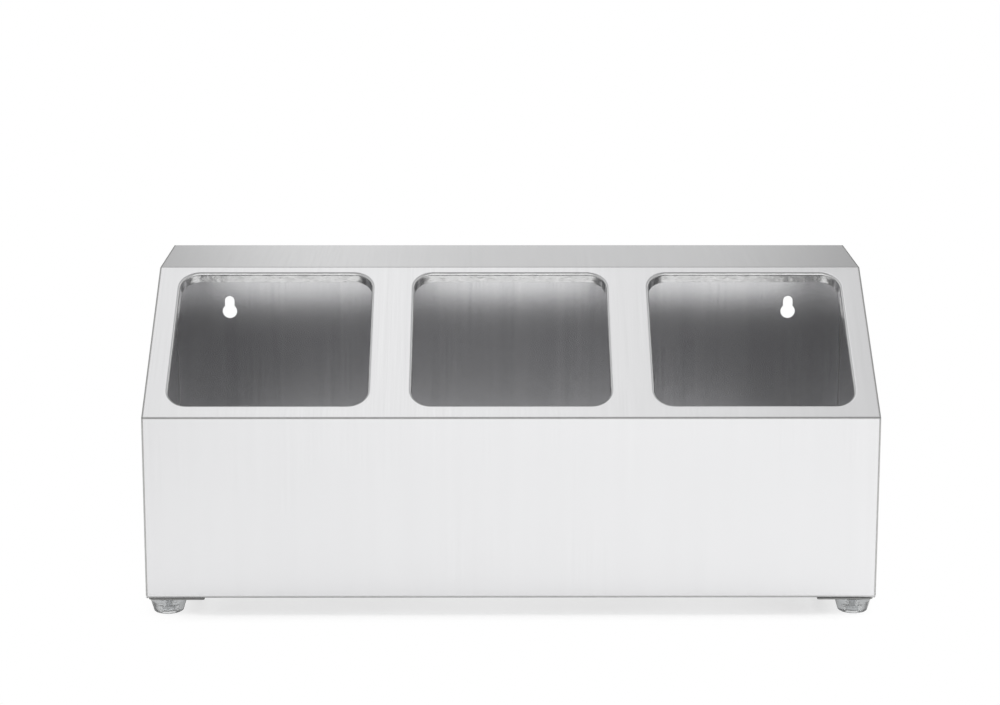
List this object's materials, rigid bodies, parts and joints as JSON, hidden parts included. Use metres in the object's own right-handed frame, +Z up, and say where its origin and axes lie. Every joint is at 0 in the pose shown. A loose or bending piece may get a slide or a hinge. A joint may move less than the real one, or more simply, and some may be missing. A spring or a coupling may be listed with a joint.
{
  "type": "gastronorm pan rack",
  "caption": "Folded stainless steel rack with a sloping deck of round-cornered openings for small gastronorm pans, keyholes in its back for hanging, and rubber feet.",
  "frame": {"origin": "on the surface that the feet stand on, under the middle of the rack", "axes": "+X to the right along the rack, +Y to the back towards the wall, +Z up"},
  "size_m": [0.56, 0.2226, 0.2469],
  "materials": {
    "brushed_stainless": "fine brushed stainless sheet",
    "clear_rubber": "smooth translucent moulded rubber",
    "plated_hardware": "bright zinc plated"
  },
  "bodies": {
    "root": {"folded_shell": "brushed_stainless", "back_panel": "brushed_stainless", "left_end_panel": "brushed_stainless", "right_end_panel": "brushed_stainless", "corner_plate_front_left": "brushed_stainless", "corner_plate_front_right": "brushed_stainless", "corner_plate_back_left": "brushed_stainless", "corner_plate_back_right": "brushed_stainless", "rubber_foot_front_left": "clear_rubber", "rubber_foot_front_right": "clear_rubber", "rubber_foot_back_left": "clear_rubber", "rubber_foot_back_right": "clear_rubber", "foot_screw_front_left": "plated_hardware", "foot_screw_front_right": "plated_hardware", "foot_screw_back_left": "plated_hardware", "foot_screw_back_right": "plated_hardware", "foot_washer_front_left": "plated_hardware", "foot_washer_front_right": "plated_hardware", "foot_washer_back_left": "plated_hardware", "foot_washer_back_right": "plated_hardware", "foot_nut_front_left": "plated_hardware", "foot_nut_front_right": "plated_hardware", "foot_nut_back_left": "plated_hardware", "foot_nut_back_right": "plated_hardware"}
  },
  "joints": []
}
